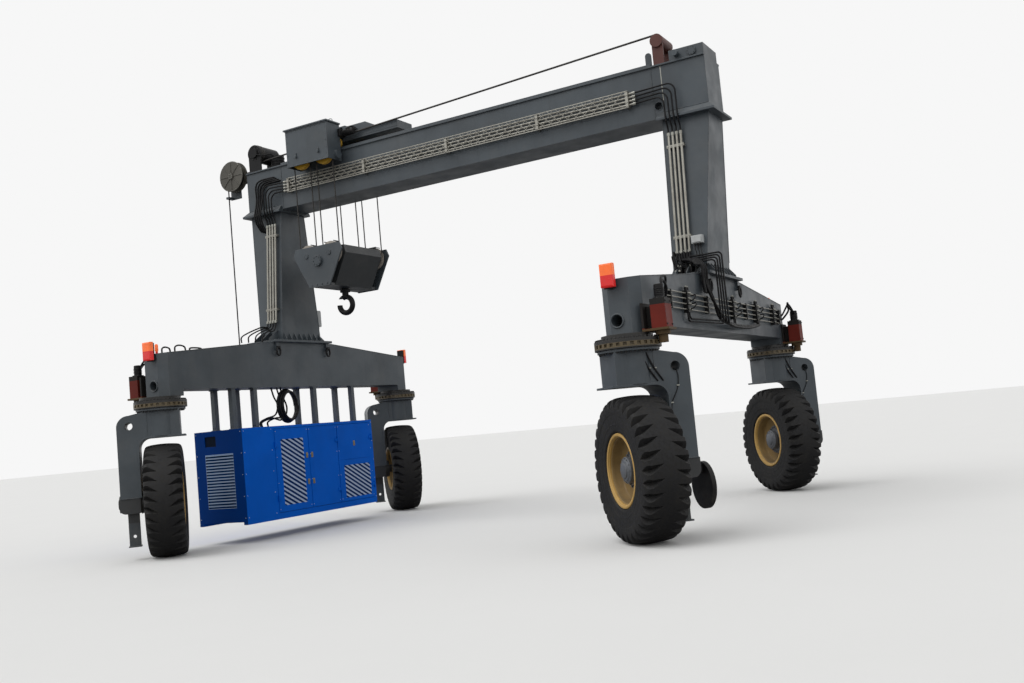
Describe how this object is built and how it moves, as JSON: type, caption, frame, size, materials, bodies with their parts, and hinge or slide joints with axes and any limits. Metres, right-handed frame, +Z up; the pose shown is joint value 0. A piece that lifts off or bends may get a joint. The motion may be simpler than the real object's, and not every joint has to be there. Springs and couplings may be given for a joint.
{
  "type": "rubber tyred gantry crane",
  "caption": "Rubber tyred gantry crane with a girder on tapered legs, hoist trolley, hook block, cable reel and hung power pack, parked with its wheels turned for crab travel.",
  "frame": {"origin": "on the ground below the middle of the whole machine's box", "axes": "+X across the span towards the right beam, +Y along the travel direction, +Z up"},
  "size_m": [10.4308, 8.2874, 7.5449],
  "materials": {
    "paint_grey": "satin",
    "paint_blue": "gloss",
    "paint_ochre": "satin",
    "paint_red_brown": "matte",
    "paint_yellow": "satin",
    "paint_black": "satin",
    "tyre_rubber": "matte",
    "pipe_steel": "satin",
    "rope_steel": "matte",
    "cable_rubber": "matte",
    "lamp_lens": "gloss",
    "box_plastic": "matte",
    "engine_iron": "matte"
  },
  "bodies": {
    "gantry": {"side_beam_left": "paint_grey", "side_beam_right": "paint_grey", "leg_left": "paint_grey", "leg_right": "paint_grey", "girder": "paint_grey", "head_left": "paint_grey", "head_right": "paint_grey", "slew_rings": "paint_ochre", "steering_drives": "paint_red_brown", "marker_lamps": "lamp_lens", "junction_boxes": "box_plastic", "girder_pipes": "pipe_steel", "pipe_guard": "pipe_steel", "leg_pipes": "pipe_steel", "beam_pipes": "pipe_steel", "haul_winch": "paint_black", "tail_roller": "paint_red_brown", "haul_rope": "rope_steel", "ladder_tray": "pipe_steel", "reel_bracket": "paint_grey", "reel_cable": "cable_rubber", "cable_post": "paint_grey", "pack_casing": "paint_blue", "engine_block": "engine_iron", "pack_hangers": "paint_grey", "knee_hoses_left": "cable_rubber", "knee_hoses_right": "cable_rubber", "drop_hoses": "cable_rubber", "valve_blocks": "paint_black", "lamp_brackets": "paint_black"},
    "trolley": {"trolley_body": "paint_grey", "trolley_motor": "paint_black", "trolley_wheels": "paint_yellow", "trolley_sheaves": "paint_yellow", "hoist_ropes": "rope_steel"},
    "block": {"hook_block": "paint_grey", "block_sheaves": "paint_yellow"},
    "hook": {"hook": "paint_black"},
    "reel": {"cable_reel": "paint_grey", "brake_ring": "paint_yellow"},
    "fork_front_left": {"fork_front_left": "paint_grey"},
    "wheel_front_left": {"tyre_front_left": "tyre_rubber", "rim_front_left": "paint_ochre"},
    "fork_front_right": {"fork_front_right": "paint_grey", "drive_guard": "paint_black"},
    "wheel_front_right": {"tyre_front_right": "tyre_rubber", "rim_front_right": "paint_ochre"},
    "fork_rear_left": {"fork_rear_left": "paint_grey"},
    "wheel_rear_left": {"tyre_rear_left": "tyre_rubber", "rim_rear_left": "paint_ochre"},
    "fork_rear_right": {"fork_rear_right": "paint_grey"},
    "wheel_rear_right": {"tyre_rear_right": "tyre_rubber", "rim_rear_right": "paint_ochre"},
    "door_front": {"pack_door_front": "paint_blue"},
    "door_middle": {"pack_door_middle": "paint_blue"},
    "door_rear": {"pack_door_rear": "paint_blue"}
  },
  "joints": [
    {"name": "steer_front_left", "type": "hinge", "parent": "gantry", "child": "fork_front_left", "pos_m": [-4.05542, -3.325, 2.4], "axis": [0, 0, 1], "range_deg": [-45, 45]},
    {"name": "roll_front_left", "type": "hinge", "parent": "fork_front_left", "child": "wheel_front_left", "pos_m": [-4.05542, -3.325, 0.925], "axis": [-0.7071, -0.7071, 0], "continuous": true},
    {"name": "steer_front_right", "type": "hinge", "parent": "gantry", "child": "fork_front_right", "pos_m": [4.38457, -3.325, 2.4], "axis": [0, 0, 1], "range_deg": [-45, 45]},
    {"name": "roll_front_right", "type": "hinge", "parent": "fork_front_right", "child": "wheel_front_right", "pos_m": [4.38457, -3.325, 0.925], "axis": [0.7071, 0.7071, 0], "continuous": true},
    {"name": "steer_rear_left", "type": "hinge", "parent": "gantry", "child": "fork_rear_left", "pos_m": [-4.05542, 3.325, 2.4], "axis": [0, 0, 1], "range_deg": [-45, 45]},
    {"name": "roll_rear_left", "type": "hinge", "parent": "fork_rear_left", "child": "wheel_rear_left", "pos_m": [-4.05542, 3.325, 0.925], "axis": [-0.7071, -0.7071, 0], "continuous": true},
    {"name": "steer_rear_right", "type": "hinge", "parent": "gantry", "child": "fork_rear_right", "pos_m": [4.38457, 3.325, 2.4], "axis": [0, 0, 1], "range_deg": [-45, 45]},
    {"name": "roll_rear_right", "type": "hinge", "parent": "fork_rear_right", "child": "wheel_rear_right", "pos_m": [4.38457, 3.325, 0.925], "axis": [0.7071, 0.7071, 0], "continuous": true},
    {"name": "trolley_travel", "type": "slide", "parent": "gantry", "child": "trolley", "axis": [1, 0, 0], "range_m": [-0.15, 4.8]},
    {"name": "hoist", "type": "slide", "parent": "trolley", "child": "block", "axis": [0, 0, 1], "range_m": [-3.6, 0.85], "deforming": ["hoist_ropes"]},
    {"name": "hook_swivel", "type": "hinge", "parent": "block", "child": "hook", "pos_m": [-2.62542, 0, 4.3], "axis": [0, 0, 1], "continuous": true},
    {"name": "reel_turn", "type": "hinge", "parent": "gantry", "child": "reel", "pos_m": [-4.91542, -0.325, 7.03], "axis": [0, 1, 0], "continuous": true},
    {"name": "door_front", "type": "hinge", "parent": "gantry", "child": "door_front", "pos_m": [-3.46543, -1.286, 1.2], "axis": [0, 0, 1], "range_deg": [-110, 0]},
    {"name": "door_middle", "type": "hinge", "parent": "gantry", "child": "door_middle", "pos_m": [-3.46543, 0.466, 1.2], "axis": [0, 0, 1], "range_deg": [0, 170]},
    {"name": "door_rear", "type": "hinge", "parent": "gantry", "child": "door_rear", "pos_m": [-3.46543, 1.536, 1.2], "axis": [0, 0, 1], "range_deg": [0, 110]}
  ]
}
